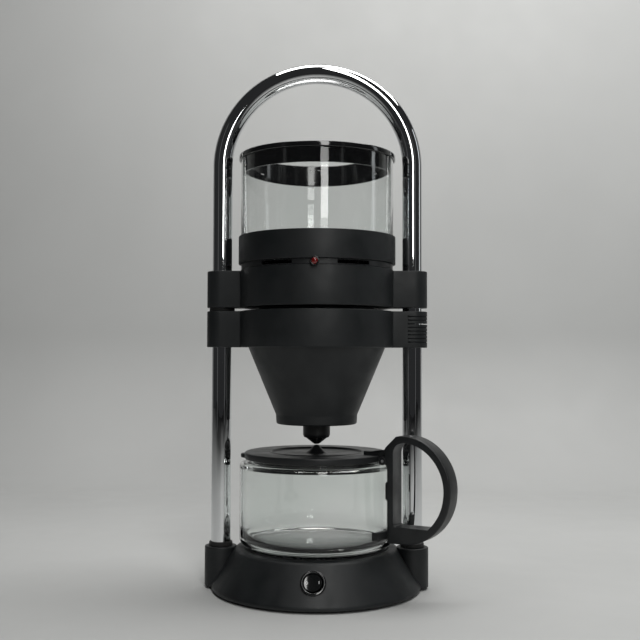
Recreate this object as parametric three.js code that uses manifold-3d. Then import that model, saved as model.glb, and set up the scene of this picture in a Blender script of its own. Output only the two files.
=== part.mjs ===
// Filter coffee maker with a boiler on top: a chromed arch frame carries the boiler and its glass tank,
// a swing-out filter holder hangs below it, and a glass jug stands on the hot plate of the base.
// Millimetres, +Z up, the machine faces -Y, and the origin is on the floor under the middle of the base.
import * as THREE from "three";
import { mergeVertices } from "three/addons/utils/BufferGeometryUtils.js";
import Module from "manifold-3d";

const wasm = await Module();
wasm.setup();

// ---- driving dimensions ----
const GAP = 0.3;             // air between neighbouring pieces

const TUBE_R = 9;            // frame tube
const TUBE_WALL = 1.2;
const TUBE_X = 87.25;        // tube axis to machine axis
const ARCH_Z = 383.95;       // centre of the half-round arch
const TUBE_FOOT_Z = 10;

const BASE_LOW_Z = 2;
const BASE_TOP_Z = 37.5;
const BASE_LOW_R = 94.8;
const BASE_TOP_R = 73;
const POST_R = 14.5;
const SHELL = 2.6;           // moulded wall
const PLATE_TOP_Z = 39.5;    // hot plate

const JUG_R = 70;
const JUG_LOW_Z = PLATE_TOP_Z + GAP;
const JUG_TOP_Z = 117.2;
const JUG_NECK_R = 62;
const GLASS = 2.4;
const JUG_TURN_DEG = -28;    // the handle points to the right and a little to the front
const SPOUT_TURN_DEG = 208;  // from the handle to the pouring tab of the lid
const LID_Z = 118;
const LID_TOP_Z = 123.1;
const LID_R = 65.5;
const HANDLE_W = 18;
const PIN_X = 70.6;          // lid hinge pin, out from the jug axis
const HINGE_Z = 119;
const PIN_R = 1.3;
const LEVER_W = 8;           // thumb lever of the lid

const HOLDER_LOW_Z = 218;
const HOLDER_TOP_Z = 250.9;
const HOLDER_R = 70;
const EAR_R = 13.75;
const CONE_LOW_R = 36.7;
const CONE_LOW_Z = 148.5;
const CONE_BEND_Z = 157;

const HOUSING_LOW_Z = 254.1;
const HOUSING_TOP_Z = 288.5;
const COLLAR_LOW_Z = 293.8;
const COLLAR_TOP_Z = 319;
const COLLAR_R = 72;
const TANK_R = 70;
const TANK_WALL = 2.5;
const RIM_TOP_Z = 394;
const SKIRT_LOW_Z = 376.4;   // inner skirt of the tank rim

const ROUND = 32;            // facets on large rounds
const FINE = 16;             // facets on small rounds

// ---- solids ----
function solid(geometry) {
  const bare = geometry.index ? geometry.toNonIndexed() : geometry.clone();
  bare.deleteAttribute("normal");
  bare.deleteAttribute("uv");
  const merged = mergeVertices(bare, 1e-4);
  const mesh = new wasm.Mesh({
    numProp: 3,
    vertProperties: new Float32Array(merged.attributes.position.array),
    triVerts: new Uint32Array(merged.index.array),
  });
  mesh.merge();
  return new wasm.Manifold(mesh);
}

function geometryOf(manifold) {
  const mesh = manifold.getMesh();
  const geometry = new THREE.BufferGeometry();
  geometry.setAttribute("position", new THREE.BufferAttribute(new Float32Array(mesh.vertProperties), 3));
  geometry.setIndex(new THREE.BufferAttribute(new Uint32Array(mesh.triVerts), 1));
  return geometry;
}

// A profile of [radius, z] points turned round the Z axis. It closes on itself unless it meets the axis.
function turned(points, facets = ROUND) {
  const onAxis = points[0][0] === 0 && points[points.length - 1][0] === 0;
  const loop = onAxis ? points : [...points, points[0]];
  const profile = loop.map(([r, z]) => new THREE.Vector2(r, z));
  const geometry = new THREE.LatheGeometry(profile, facets);
  geometry.rotateX(Math.PI / 2);
  const body = solid(geometry);
  return body.volume() < 0 ? solid(flipped(geometry)) : body;
}

function flipped(geometry) {
  const index = geometry.index.array;
  for (let i = 0; i < index.length; i += 3) {
    [index[i], index[i + 1]] = [index[i + 1], index[i]];
  }
  return geometry;
}

function rod(radius, lowZ, highZ, facets = FINE) {
  const geometry = new THREE.CylinderGeometry(radius, radius, highZ - lowZ, facets);
  geometry.rotateX(Math.PI / 2);
  geometry.translate(0, 0, (lowZ + highZ) / 2);
  return solid(geometry);
}

function ring(outer, inner, lowZ, highZ, facets = ROUND) {
  return turned([[outer, lowZ], [outer, highZ], [inner, highZ], [inner, lowZ]], facets);
}

function block(lowX, highX, lowY, highY, lowZ, highZ) {
  const geometry = new THREE.BoxGeometry(highX - lowX, highY - lowY, highZ - lowZ);
  geometry.translate((lowX + highX) / 2, (lowY + highY) / 2, (lowZ + highZ) / 2);
  return solid(geometry);
}

// A flat outline in the XZ plane, given as a Shape, thickened evenly either side of y = 0.
function slab(shape, width, curveSegments = 9) {
  const geometry = new THREE.ExtrudeGeometry(shape, { depth: width, bevelEnabled: false, curveSegments });
  geometry.rotateX(Math.PI / 2);
  geometry.translate(0, width / 2, 0);
  return solid(geometry);
}

const join = (...parts) => parts.reduce((sum, part) => sum.add(part));
const cut = (body, ...tools) => tools.reduce((rest, tool) => rest.subtract(tool), body);
const at = (body, x, y, z = 0) => body.translate([x, y, z]);

// A stretch of arc as [radius, z] points for a turned profile.
function corner(centreR, centreZ, radius, fromDeg, toDeg, steps = 5) {
  const points = [];
  for (let i = 0; i <= steps; i += 1) {
    const angle = THREE.MathUtils.degToRad(fromDeg + ((toDeg - fromDeg) * i) / steps);
    points.push([centreR + radius * Math.cos(angle), centreZ + radius * Math.sin(angle)]);
  }
  return points;
}

// ---- materials ----
function finish(color, roughness, metalness = 0, opacity = 1) {
  return { color, roughness, metalness, opacity, transparent: opacity < 1 };
}

const BLACK = finish(0x25282a, 0.6);
const SATIN = finish(0x2c3032, 0.45);
const GLOSS = finish(0x101112, 0.12);
const RUBBER = finish(0x1b1b1c, 0.85);
const CHROME = finish(0xd6d8da, 0.06, 1);
const STEEL = finish(0xa9abad, 0.32, 1);
const GLASS_CLEAR = finish(0xe4efec, 0.04, 0, 0.3);
const LAMP_RED = finish(0xa01414, 0.15, 0, 0.8);
const SILICONE = finish(0xb8b4ac, 0.7);
const BRASS = finish(0xb58a3f, 0.35, 1);

const machine = new THREE.Group();

function add(name, body, look, parent = machine) {
  const mesh = new THREE.Mesh(geometryOf(body), new THREE.MeshStandardMaterial(look));
  mesh.name = name;
  parent.add(mesh);
  return mesh;
}

const SIDES = [["left", -1], ["right", 1]];

// ---- base ----
const slope = (BASE_LOW_R - BASE_TOP_R) / (BASE_TOP_Z - BASE_LOW_Z - 3);
const slopeAngle = Math.atan(slope);
const BASE_EDGE_Z = BASE_LOW_Z + 3;
const PLATE_HOLE_R = 66;
const SOCKET_LOW_Z = BASE_LOW_Z + 4.5;   // moulded sockets that the frame tube stands in
const SOCKET_WALL = 3.1;
const FRAME_SCREW_BORE_R = 2.4;
const GLAND_Z = 12;
const GLAND_Y = BASE_LOW_R - 6;

const SWITCH_R = 10.9;
const SWITCH_Z = 22.6;
const switchY = -(BASE_LOW_R - (SWITCH_Z - BASE_EDGE_Z) * slope);

// Turns a piece built round +Z so that +Z becomes the outward normal of the sloping front at the switch.
function ontoSlope(body) {
  const tiltDeg = 90 - THREE.MathUtils.radToDeg(slopeAngle);
  return body.rotate([tiltDeg, 0, 0]).translate([0, switchY, SWITCH_Z]);
}

function baseHousing() {
  const skin = turned([
    [0, BASE_LOW_Z], [BASE_LOW_R, BASE_LOW_Z], [BASE_LOW_R, BASE_EDGE_Z],
    [BASE_TOP_R + 1.2, BASE_TOP_Z - 1.4], [BASE_TOP_R - 0.9, BASE_TOP_Z], [0, BASE_TOP_Z],
  ]);
  const hollow = turned([
    [0, BASE_LOW_Z - 1], [BASE_LOW_R - SHELL, BASE_LOW_Z - 1], [BASE_LOW_R - SHELL, BASE_EDGE_Z - 0.5],
    [BASE_TOP_R - SHELL, BASE_TOP_Z - SHELL], [0, BASE_TOP_Z - SHELL],
  ]);
  const onPosts = (piece) => SIDES.map(([, side]) => at(piece, side * TUBE_X, 0));
  let body = join(skin, ...onPosts(rod(POST_R, BASE_LOW_Z, BASE_TOP_Z)));
  body = cut(body, hollow);
  body = join(body, ...onPosts(rod(TUBE_R + SOCKET_WALL, SOCKET_LOW_Z, BASE_TOP_Z)));
  body = cut(
    body,
    ...onPosts(rod(TUBE_R + GAP, TUBE_FOOT_Z - GAP, BASE_TOP_Z + 1)),
    ...onPosts(rod(TUBE_R + 1.5, BASE_TOP_Z - 2, BASE_TOP_Z + 1)),
    ...onPosts(rod(FRAME_SCREW_BORE_R, 0, TUBE_FOOT_Z + 1, 12)),
    ...onPosts(rod(POST_R - SHELL, 0, SOCKET_LOW_Z)),
  );
  const plateHole = rod(PLATE_HOLE_R, BASE_TOP_Z - 5, BASE_TOP_Z + 1, ROUND);
  const switchHole = ontoSlope(rod(SWITCH_R - 0.9, -12, 4));
  const glandHole = at(rod(5, -8, 8, 16).rotate([90, 0, 0]), 0, GLAND_Y, GLAND_Z);
  return cut(body, plateHole, switchHole, glandHole);
}
add("base_housing", baseHousing(), BLACK);

const COVER_LOW_Z = 2.2;
const COVER_TOP_Z = 4.4;
const FOOT_RADIUS = 76;
const COVER_SCREW_RADIUS = 60;
const FOOT_ANGLES = [50, 130, 230, 310];
const SCREW_ANGLES = [20, 160, 200, 340];

function polar(radius, degrees) {
  const angle = THREE.MathUtils.degToRad(degrees);
  return [radius * Math.cos(angle), radius * Math.sin(angle)];
}

function bottomCover() {
  const plate = rod(BASE_LOW_R - SHELL - GAP, COVER_LOW_Z, COVER_TOP_Z, ROUND);
  const pad = rod(16, 0, COVER_LOW_Z + 0.2, FINE);
  let body = join(plate, pad);
  for (const degrees of FOOT_ANGLES) {
    body = cut(body, at(rod(3 + GAP, 0, 6, 12), ...polar(FOOT_RADIUS, degrees)));
  }
  for (const degrees of SCREW_ANGLES) {
    body = cut(body, at(rod(1.8, 0, 6, 12), ...polar(COVER_SCREW_RADIUS, degrees)));
  }
  for (const [, side] of SIDES) {
    body = cut(body, at(rod(POST_R + GAP, 0, 9), side * TUBE_X, 0));
  }
  return body;
}
add("bottom_cover", bottomCover(), BLACK);

FOOT_ANGLES.forEach((degrees, i) => {
  const pad = turned([[0, 0], [6.5, 0], [7.5, 0.8], [7.5, COVER_LOW_Z - GAP], [3, COVER_LOW_Z - GAP], [3, 6], [0, 6]], FINE);
  add(`foot_${i + 1}`, at(pad, ...polar(FOOT_RADIUS, degrees)), RUBBER);
});

// Self-tapping screws from below, into bosses that the cover carries its load through.
SCREW_ANGLES.forEach((degrees, i) => {
  const head = rod(3.2, 0.5, COVER_LOW_Z - GAP, 10);
  const shank = rod(1.5, 1, 12, 8);
  add(`cover_screw_${i + 1}`, at(join(head, shank), ...polar(COVER_SCREW_RADIUS, degrees)), STEEL);
});

for (const [name, side] of SIDES) {
  const screw = join(rod(4.6, 2.6, 6.2, 10), rod(2.1, 6, 20, 8));
  add(`frame_screw_${name}`, at(screw, side * TUBE_X, 0), STEEL);
  const plug = cut(
    rod(TUBE_R - TUBE_WALL - GAP, TUBE_FOOT_Z + 0.5, 24, 12),
    rod(FRAME_SCREW_BORE_R, 0, 26, 8),
  );
  add(`tube_plug_${name}`, at(plug, side * TUBE_X, 0), STEEL);
  const grommet = turned([
    [TUBE_R + GAP, BASE_TOP_Z - 1.6], [TUBE_R + 1.2, BASE_TOP_Z - 1.6], [TUBE_R + 1.2, BASE_TOP_Z + GAP],
    [TUBE_R + 1.9, BASE_TOP_Z + GAP], [TUBE_R + 1.6, BASE_TOP_Z + 3.6], [TUBE_R + GAP, BASE_TOP_Z + 4],
  ], FINE);
  add(`tube_grommet_${name}`, at(grommet, side * TUBE_X, 0), RUBBER);
}

// ---- hot plate ----
const hotPlate = turned([
  [0, PLATE_TOP_Z - 2], [58, PLATE_TOP_Z - 2], [58, PLATE_TOP_Z - 1.2], [60.5, PLATE_TOP_Z - 1.2],
  [61.5, PLATE_TOP_Z - 0.6], [61.2, PLATE_TOP_Z], [0, PLATE_TOP_Z],
]);
add("hot_plate", hotPlate, GLOSS);
add("hot_plate_seal", turned([
  [58.4, BASE_TOP_Z - 4.4], [64, BASE_TOP_Z - 4.4], [64, BASE_TOP_Z - 2.9], [65.5, BASE_TOP_Z - 2.9],
  [65.5, BASE_TOP_Z], [63.5, BASE_TOP_Z + 0.6], [61.9, BASE_TOP_Z + 0.6], [61.9, BASE_TOP_Z], [58.4, BASE_TOP_Z],
]), RUBBER);

function arcRing(radius, thickness, z, gapDeg) {
  const angle = THREE.MathUtils.degToRad(180 - gapDeg / 2);
  class Arc extends THREE.Curve {
    getPoint(t, target = new THREE.Vector3()) {
      const a = -angle + 2 * angle * t;
      return target.set(radius * Math.cos(a), radius * Math.sin(a), z);
    }
  }
  const section = new THREE.Shape();
  section.absarc(0, 0, thickness, 0, Math.PI * 2, false);
  const geometry = new THREE.ExtrudeGeometry(section, { steps: 24, curveSegments: 3, extrudePath: new Arc() });
  return solid(geometry);
}
add("hot_plate_heater", arcRing(40, 3.4, PLATE_TOP_Z - 2 - GAP - 3.6, 40), STEEL);
add("base_thermostat", at(join(rod(7, 27, 33, 16), rod(4, 33, PLATE_TOP_Z - 2 - GAP, 12)), 0, 12), STEEL);

// ---- switch and cord inlet ----
const switchBody = cut(
  join(rod(SWITCH_R, 0.35, 1.8), rod(SWITCH_R - 1.3, -14, 0.6)),
  rod(SWITCH_R - 2.4, -8, 3),
);
add("switch_body", ontoSlope(switchBody), GLOSS);
const rockerShape = rod(SWITCH_R - 3.4, -3.2, 2.2).subtract(
  at(rod(30, -12, 12, 48).rotate([90, 0, 0]), 0, 0, 31.2));
const rockerPivot = rod(1.6, -5, 5, 12).rotate([90, 0, 0]).translate([0, 0, -3.2]);
add("switch_rocker", ontoSlope(rockerShape.add(rockerPivot).rotate([0, -7, 0])), GLOSS);

const gland = turned([
  [3.4, -4], [4.7, -4], [4.7, 6.4], [7.2, 6.4], [6.4, 10], [3.4, 10],
], 12);
add("cord_gland", at(gland.rotate([-90, 0, 0]), 0, GLAND_Y, GLAND_Z), RUBBER);

// ---- frame ----
function arch(radius, sides) {
  class HalfRound extends THREE.Curve {
    getPoint(t, target = new THREE.Vector3()) {
      const a = Math.PI * (1 - t);
      return target.set(TUBE_X * Math.cos(a), 0, ARCH_Z + TUBE_X * Math.sin(a));
    }
  }
  const section = new THREE.Shape();
  section.absarc(0, 0, radius, 0, Math.PI * 2, false);
  return solid(new THREE.ExtrudeGeometry(section, {
    steps: 20, curveSegments: sides / 2, extrudePath: new HalfRound(),
  }));
}

function frameTube() {
  const legs = (radius, low, sides) => SIDES.map(
    ([, side]) => at(rod(radius, low, ARCH_Z + 0.05, sides), side * TUBE_X, 0));
  const outer = join(arch(TUBE_R, FINE), ...legs(TUBE_R, TUBE_FOOT_Z, FINE));
  const boreR = TUBE_R - TUBE_WALL;
  const bore = join(arch(boreR, 12), ...legs(boreR, TUBE_FOOT_Z - 1, 12));
  return cut(outer, bore);
}
add("frame_tube", frameTube(), CHROME);

// ---- boiler ----
const HOUSING_R = 70.15;

function lugged(radius, lowZ, highZ, lugTopZ) {
  let body = rod(radius, lowZ, highZ, ROUND);
  for (const [, side] of SIDES) {
    const reach = block(Math.min(0, side * TUBE_X), Math.max(0, side * TUBE_X), -EAR_R, EAR_R, lowZ, lugTopZ);
    body = join(body, reach, at(rod(EAR_R, lowZ, lugTopZ), side * TUBE_X, 0));
  }
  return body;
}

function boilerHousing() {
  let body = lugged(HOUSING_R, HOUSING_LOW_Z, HOUSING_TOP_Z, HOUSING_TOP_Z - 1);
  body = cut(body, rod(HOUSING_R - SHELL, HOUSING_LOW_Z + SHELL, HOUSING_TOP_Z + 1, ROUND));
  body = cut(body, rod(11, HOUSING_LOW_Z - 1, HOUSING_LOW_Z + 4));
  for (const [, side] of SIDES) {
    body = cut(body, at(rod(TUBE_R + GAP, HOUSING_LOW_Z - 1, HOUSING_TOP_Z + 1), side * TUBE_X, 0));
    const screwBore = rod(1.8, -20, 20, 12).rotate([0, 90, 0]);
    body = cut(body, at(screwBore, side * (TUBE_X - 14), 0, 270));
  }
  return body;
}
add("boiler_housing", boilerHousing(), BLACK);

for (const [name, side] of SIDES) {
  const shank = rod(1.5, 1, 9.6, 8);
  const head = rod(3, -2.4, 1, 10);
  const screw = join(head, shank).rotate([0, 90, 0]);
  const placed = side > 0 ? screw : screw.rotate([0, 0, 180]);
  add(`lug_screw_${name}`, at(placed, side * (HOUSING_R - SHELL - 1.5), 0, 270), STEEL);
}

// Vent band: a recessed ring with air slots either side of the lamp at the front, and the same at the back.
const BAND_R = HOUSING_R - 0.6;
const BAND_LOW_Z = HOUSING_TOP_Z + GAP;
const BAND_HIGH_Z = COLLAR_LOW_Z - GAP;
const SLOT_ANGLES = [-119.3, -60.7, 60.7, 119.3];
const SLOT_HALF = 15.6;
const LAMP_Z = (HOUSING_TOP_Z + COLLAR_LOW_Z) / 2;
const LAMP_STEM_R = 1.6;

function ventBand() {
  let body = ring(BAND_R, BAND_R - SHELL + 0.6, BAND_LOW_Z, BAND_HIGH_Z);
  for (const degrees of SLOT_ANGLES) {
    const slot = block(50, 80, -SLOT_HALF, SLOT_HALF, BAND_LOW_Z + 0.8, BAND_HIGH_Z - 0.8);
    body = cut(body, slot.rotate([0, 0, degrees]));
  }
  return cut(body, at(rod(LAMP_STEM_R + GAP, -6, 6, 12).rotate([90, 0, 0]), 0, -HOUSING_R, LAMP_Z));
}
add("vent_band", ventBand(), SATIN);

// The lamp stands in front of the collar's edge: a black cup with a domed red lens on a stem through the band.
const onFront = (body) => at(body.rotate([90, 0, 0]), 0, -COLLAR_R - GAP, LAMP_Z);
const lampCup = turned([
  [3.9, 0], [3.9, 1], [3.5, 1.6], [3, 1.6], [3, 0.6], [LAMP_STEM_R + GAP, 0.6], [LAMP_STEM_R + GAP, 0],
], FINE);
add("lamp_bezel", onFront(lampCup), GLOSS);
const lens = turned([
  [0, -5.5], [LAMP_STEM_R, -5.5], [LAMP_STEM_R, 0.9], [2.7, 0.9], [2.7, 1.4], [2.3, 2.1], [1.3, 2.6], [0, 2.8],
], FINE);
add("indicator_lens", onFront(lens), LAMP_RED);

const collar = turned([
  [HOUSING_R - SHELL, COLLAR_LOW_Z], [COLLAR_R, COLLAR_LOW_Z], [COLLAR_R, COLLAR_TOP_Z - 2.4],
  [COLLAR_R - 0.5, COLLAR_TOP_Z - 0.9], [TANK_R + 0.9, COLLAR_TOP_Z], [TANK_R + GAP, COLLAR_TOP_Z - 0.4],
  [TANK_R + GAP, 303], [66, 303], [66, 300], [HOUSING_R - SHELL, 300],
]);
add("boiler_collar", collar, BLACK);
add("tank_gasket", ring(TANK_R, TANK_R - 3.6, 303 + GAP, 305.5), SILICONE);
add("tank_glass", ring(TANK_R, TANK_R - TANK_WALL, 305.8, RIM_TOP_Z - 3.1), GLASS_CLEAR);
add("tank_rim", turned([
  [TANK_R + GAP, RIM_TOP_Z - 4.8], [TANK_R + 1.9, RIM_TOP_Z - 4.8], [TANK_R + 1.9, RIM_TOP_Z - 0.9],
  [TANK_R + 0.9, RIM_TOP_Z], [66.2, RIM_TOP_Z], [65.2, RIM_TOP_Z - 1], [64.6, SKIRT_LOW_Z], [66.4, SKIRT_LOW_Z],
  [67.2, RIM_TOP_Z - 2.8], [TANK_R + GAP, RIM_TOP_Z - 2.8],
]), GLOSS);

// The steel boiler floor closes the tank, with the heating element pressed under it.
const boilerPlate = cut(rod(65.6, 300.4, 302, ROUND), rod(7, 299, 303));
add("boiler_plate", boilerPlate, STEEL);
add("boiler_heater", arcRing(46, 4, 295.9, 36), STEEL);
add("boiler_thermostat", at(join(rod(8, 286, 293, 16), rod(5, 293, 300.1, 16)), 0, 24), STEEL);

// Outlet: a seat clamped in the boiler floor and a lifting valve that lets the heated water down.
const seat = cut(join(rod(6.6, 256, 304), rod(9.5, 297, 300.1)), rod(3.6, 255, 305));
add("outlet_seat", seat, BRASS);
const valve = join(rod(5.2, 304 + GAP, 306.5, 16), rod(3.1, 266, 304.6, 16), rod(1.6, 306, 316, 12));
add("outlet_valve", valve, SATIN);

const shower = cut(rod(56, 251.5, 253.8, ROUND), rod(4, 251, 252.4, 16));
const showerHoles = [];
for (const [radius, count] of [[16, 4], [34, 8]]) {
  for (let i = 0; i < count; i += 1) {
    showerHoles.push(at(rod(1.6, 251, 254, 6), ...polar(radius, (360 * i) / count)));
  }
}
add("shower_plate", cut(shower, ...showerHoles), SATIN);

// ---- filter holder ----
function earBlank(side, lowZ, highZ) {
  const reach = block(Math.min(side * 62, side * TUBE_X), Math.max(side * 62, side * TUBE_X),
    -EAR_R, EAR_R, lowZ, highZ);
  return join(reach, at(rod(EAR_R, lowZ, highZ, 24), side * TUBE_X, 0));
}

const CATCH_R = TUBE_R + 1.3;
const GRIP_PITCH = 3.3;
const GRIP_FIRST_Z = 222.4;

function filterHolder() {
  let body = rod(HOLDER_R, HOLDER_LOW_Z, HOLDER_TOP_Z, ROUND);
  body = join(body, earBlank(-1, HOLDER_LOW_Z, HOLDER_TOP_Z), earBlank(1, HOLDER_LOW_Z, HOLDER_TOP_Z));
  body = cut(body, rod(HOLDER_R - 3, HOLDER_LOW_Z + 4, HOLDER_TOP_Z + 1, ROUND));
  body = cut(body, rod(63 + GAP, HOLDER_LOW_Z - 1, HOLDER_LOW_Z + 5, ROUND));
  body = cut(body, at(rod(TUBE_R + 2.6, HOLDER_LOW_Z - 1, HOLDER_TOP_Z + 1), -TUBE_X, 0));
  const catchHole = at(rod(CATCH_R, HOLDER_LOW_Z - 1, HOLDER_TOP_Z + 1), TUBE_X, 0);
  const catchMouth = block(TUBE_X - CATCH_R, TUBE_X + CATCH_R, 0, 20, HOLDER_LOW_Z - 1, HOLDER_TOP_Z + 1);
  body = cut(body, catchHole, catchMouth);
  const groove = cut(ring(EAR_R + 2, EAR_R - 0.8, 0, 1.2, 24), block(-20, -1, -20, 20, -1, 3));
  for (let i = 0; i < 8; i += 1) {
    body = cut(body, at(groove, TUBE_X, 0, GRIP_FIRST_Z + i * GRIP_PITCH));
  }
  return body;
}
add("filter_holder", filterHolder(), BLACK);

const hingeBush = ring(TUBE_R + 2.3, TUBE_R + GAP, HOLDER_LOW_Z, HOLDER_TOP_Z, FINE);
add("hinge_bush", at(hingeBush, -TUBE_X, 0), SATIN);
const spacer = ring(TUBE_R + 2.6, TUBE_R + GAP, HOLDER_TOP_Z + GAP, HOUSING_LOW_Z - GAP, FINE);
add("hinge_spacer", at(spacer, -TUBE_X, 0), RUBBER);

const CONE_TOP_Z = HOLDER_LOW_Z + 4 + GAP;
const filterCone = turned([
  [0, CONE_LOW_Z], [CONE_LOW_R - 2, CONE_LOW_Z], [CONE_LOW_R, CONE_LOW_Z + 1.8], [CONE_LOW_R + 0.6, CONE_BEND_Z],
  [62.6, HOLDER_LOW_Z], [62.8, CONE_TOP_Z], [66.4, CONE_TOP_Z], [66.4, CONE_TOP_Z + 2.4],
  [60.6, CONE_TOP_Z + 2.4], [60.2, HOLDER_LOW_Z], [CONE_LOW_R - 1.8, CONE_BEND_Z], [CONE_LOW_R - 2.6, 151],
  [0, 151],
]);
add("filter_cone", cut(filterCone, rod(4.2, 147, 152, 16)), BLACK);

const NOZZLE_R = 12.4;
const nozzle = turned([
  [4.2, 145.2], [4.2, CONE_LOW_Z - GAP], [NOZZLE_R, CONE_LOW_Z - GAP], [NOZZLE_R, 137.6],
  [NOZZLE_R - 1, 136.2], [NOZZLE_R - 1.9, 136.2], [NOZZLE_R - 1.9, 145.2],
], 20);
add("nozzle_sleeve", nozzle, SATIN);

// The drip stop: a sprung plunger that the lid of the jug pushes up to let the coffee through.
const plunger = turned([
  [0, 130], [1.9, 130], [3.2, 130.7], [NOZZLE_R - 2.2, 136.2], [NOZZLE_R - 2.2, 138.2], [3, 138.2],
  [3, 151.2], [0, 151.2],
], 20);
add("drip_stop_plunger", plunger, GLOSS);
add("drip_stop_seal", ring(7, 3.3, 151 + GAP, 153, FINE).add(rod(7, 152.2, 153.4)), SILICONE);

function coilSpring(radius, wire, lowZ, highZ, turns) {
  class Helix extends THREE.Curve {
    getPoint(t, target = new THREE.Vector3()) {
      const a = Math.PI * 2 * turns * t;
      return target.set(radius * Math.cos(a), radius * Math.sin(a), lowZ + (highZ - lowZ) * t);
    }
  }
  const section = new THREE.Shape();
  section.absarc(0, 0, wire, 0, Math.PI * 2, false);
  return solid(new THREE.ExtrudeGeometry(section, {
    steps: turns * 10, curveSegments: 3, extrudePath: new Helix(),
  }));
}
add("drip_stop_spring", coilSpring(6.4, 0.45, 138.2 + 0.75, 145.2 - 0.75, 3), STEEL);

// ---- jug ----
const jug = new THREE.Group();
jug.rotation.z = THREE.MathUtils.degToRad(JUG_TURN_DEG);
machine.add(jug);

// Straight sides with a tight outer corner, and a much rounder inner one over the thick glass of the floor.
function jugGlass() {
  const outer = [
    [0, JUG_LOW_Z], ...corner(JUG_R - 6, JUG_LOW_Z + 6, 6, -90, 0, 3),
    ...corner(JUG_R - 8, JUG_TOP_Z - 11, 8, 0, 75, 3), [JUG_NECK_R, JUG_TOP_Z - 2],
    [JUG_NECK_R + 0.6, JUG_TOP_Z],
  ];
  const inner = [
    [JUG_NECK_R - GLASS + 0.4, JUG_TOP_Z], [JUG_NECK_R - GLASS, JUG_TOP_Z - 3.6],
    ...corner(JUG_R - 8.4, JUG_TOP_Z - 11.4, 8 - GLASS + 0.4, 70, 0, 2),
    ...corner(JUG_R - GLASS - 15, JUG_LOW_Z + GLASS + 15, 15, 0, -90, 4), [0, JUG_LOW_Z + GLASS],
  ];
  return turned([...outer, ...inner]);
}
add("jug_glass", jugGlass(), GLASS_CLEAR, jug);

// The handle is one moulding: an upright bar by the glass, a lower arm with a foot, and a wide round bow.
const BAR_IN = 75.2;
const BAR_OUT = 81.2;
const HANDLE_LOW_Z = 48.4;
const ARM_TOP_Z = 63;
const BOW_OUT = 134.2;
const BOW_IN = 128;
const FOOT_LOW_Z = 52;
const FOOT_HIGH_Z = 58.8;
const FOOT_HALF_DEG = 17;
const PAD_R = JUG_R + GAP;
const PAD_THICK = 0.5;

const across = (body, y = 0) => at(body.rotate([90, 0, 0]), PIN_X, y, HINGE_Z);
const pinHole = across(rod(PIN_R + GAP, -20, 20, 12));

function handle() {
  const bow = new THREE.Shape();
  bow.moveTo(BAR_IN, 113);
  bow.lineTo(72.6, 118);
  bow.lineTo(72.6, 130.2);
  bow.lineTo(84.1, 141.3);
  bow.lineTo(93, 141.4);
  bow.bezierCurveTo(115, 140.6, BOW_OUT, 120, BOW_OUT, 96);
  bow.bezierCurveTo(BOW_OUT, 67, 113, 49.4, 93, HANDLE_LOW_Z);
  bow.lineTo(BAR_IN, HANDLE_LOW_Z);
  bow.lineTo(BAR_IN, 113);
  const opening = new THREE.Shape();
  opening.moveTo(BAR_OUT, ARM_TOP_Z);
  opening.lineTo(BAR_OUT, 126);
  opening.bezierCurveTo(81.7, 132, 85, 135.2, 91, 135.6);
  opening.bezierCurveTo(111, 135.4, BOW_IN, 117, BOW_IN, 96);
  opening.bezierCurveTo(BOW_IN, 82, 122.5, 71.5, 113.5, ARM_TOP_Z);
  return cut(slab(bow, HANDLE_W), slab(opening, HANDLE_W + 2));
}

// A stretch of ring beside the glass, from radius inner to outer, that reaches halfWidth either side.
function wrapped(inner, outer, lowZ, highZ, halfWidth) {
  const sector = ring(outer, inner, lowZ, highZ, 72);
  return sector.intersect(block(0, 100, -halfWidth, halfWidth, lowZ - 1, highZ + 1));
}

const LOBE_W = (HANDLE_W - LEVER_W) / 2 - 0.6;
const PAD_SPOTS = [["lower", 53, 57.6, 8], ["upper", 85, 99, 1.4]];
const footHalf = 75 * Math.sin(THREE.MathUtils.degToRad(FOOT_HALF_DEG));
const foot = wrapped(PAD_R + PAD_THICK + 0.1, BAR_IN + 0.6, FOOT_LOW_Z, FOOT_HIGH_Z, footHalf);
const boss = block(PAD_R + PAD_THICK + 0.5, BAR_IN + 0.5, -1.5, 1.5, 84, 100);
const lobes = [-1, 1].map((side) => across(rod(3.6, -LOBE_W / 2, LOBE_W / 2, 14), (side * (HANDLE_W - LOBE_W)) / 2));
const leverSlot = block(60, 79.2, -LEVER_W / 2 - 0.6, LEVER_W / 2 + 0.6, 107, 131.8);
const nearGlass = rod(PAD_R + PAD_THICK, 40, 112, 72);
const grip = cut(join(cut(handle(), leverSlot), foot, boss, ...lobes), pinHole, nearGlass);
add("jug_handle", grip, SATIN, jug);
for (const [name, lowZ, highZ, halfWidth] of PAD_SPOTS) {
  const pad = wrapped(PAD_R, PAD_R + PAD_THICK - 0.1, lowZ, highZ, halfWidth);
  add(`handle_pad_${name}`, pad, SILICONE, jug);
}

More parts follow.
